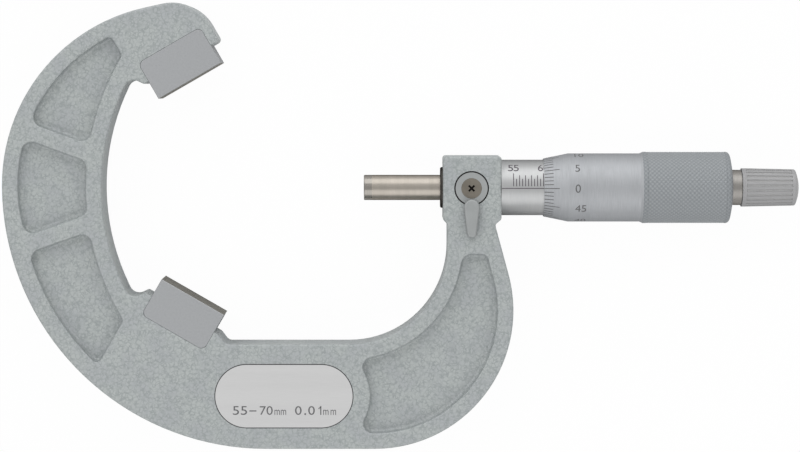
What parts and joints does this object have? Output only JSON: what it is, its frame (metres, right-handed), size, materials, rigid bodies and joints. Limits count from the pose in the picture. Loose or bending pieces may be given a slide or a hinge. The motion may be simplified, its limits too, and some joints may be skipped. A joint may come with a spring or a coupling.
{
  "type": "v-anvil micrometer",
  "caption": "Outside micrometer whose anvil is a wide vee of two blocks, for the diameter of cutters and other round work with an odd number of flutes.",
  "frame": {"origin": "centre of the spindle's measuring face, with the instrument reading 60 mm", "axes": "+X along the spindle towards the ratchet, +Y across the throat from the arm side towards the open side, +Z out of the graduated side; the instrument lies on its back"},
  "size_m": [0.2001, 0.1119, 0.0182],
  "materials": {
    "frame_paint": "grey hammered enamel on a casting",
    "ground_steel": "ground",
    "hard_metal": "lapped face",
    "plate_aluminium": "satin anodised",
    "dark_steel": "darkened",
    "plain_steel": "turned",
    "spring_steel": "drawn wire",
    "satin_chrome": "satin",
    "plug_brass": "turned",
    "marking_paint": "dark paint in the graduations and the lettering"
  },
  "bodies": {
    "frame_body": {"frame": "frame_paint", "upper_vee_block": "ground_steel", "lower_vee_block": "ground_steel", "name_plate": "plate_aluminium", "spindle_guide_bush": "dark_steel", "inner_sleeve": "plain_steel", "graduated_sleeve": "satin_chrome", "adjusting_nut": "plain_steel", "clamp_plug": "plug_brass"},
    "clamp": {"clamp_lever": "satin_chrome", "clamp_stud": "plain_steel", "lever_screw": "dark_steel"},
    "spindle_body": {"spindle": "ground_steel", "spindle_tip": "hard_metal"},
    "thimble_body": {"thimble": "satin_chrome", "ratchet_base": "plain_steel", "ratchet_screw": "plain_steel", "ratchet_washer": "plain_steel"},
    "ratchet_body": {"ratchet_knob": "satin_chrome", "ratchet_tooth_plate": "plain_steel", "ratchet_spring": "spring_steel", "ratchet_cap": "satin_chrome"}
  },
  "joints": [
    {"name": "spindle_travel", "type": "slide", "parent": "frame_body", "child": "spindle_body", "axis": [1, 0, 0], "range_m": [-0.0075, 0.015]},
    {"name": "thimble_turn", "type": "hinge", "parent": "spindle_body", "child": "thimble_body", "pos_m": [0.0605, 0, 0], "axis": [1, 0, 0], "range_deg": [-3600, 7200]},
    {"name": "ratchet_turn", "type": "hinge", "parent": "thimble_body", "child": "ratchet_body", "pos_m": [0.1, 0, 0], "axis": [1, 0, 0], "continuous": true},
    {"name": "clamp_swing", "type": "hinge", "parent": "frame_body", "child": "clamp", "pos_m": [0.027, 0, 0], "axis": [0, 0, 1], "range_deg": [-45, 15]}
  ],
  "couplings": [
    {"joint": "thimble_turn", "follows": "spindle_travel", "rad_per_m": 8377.6}
  ]
}
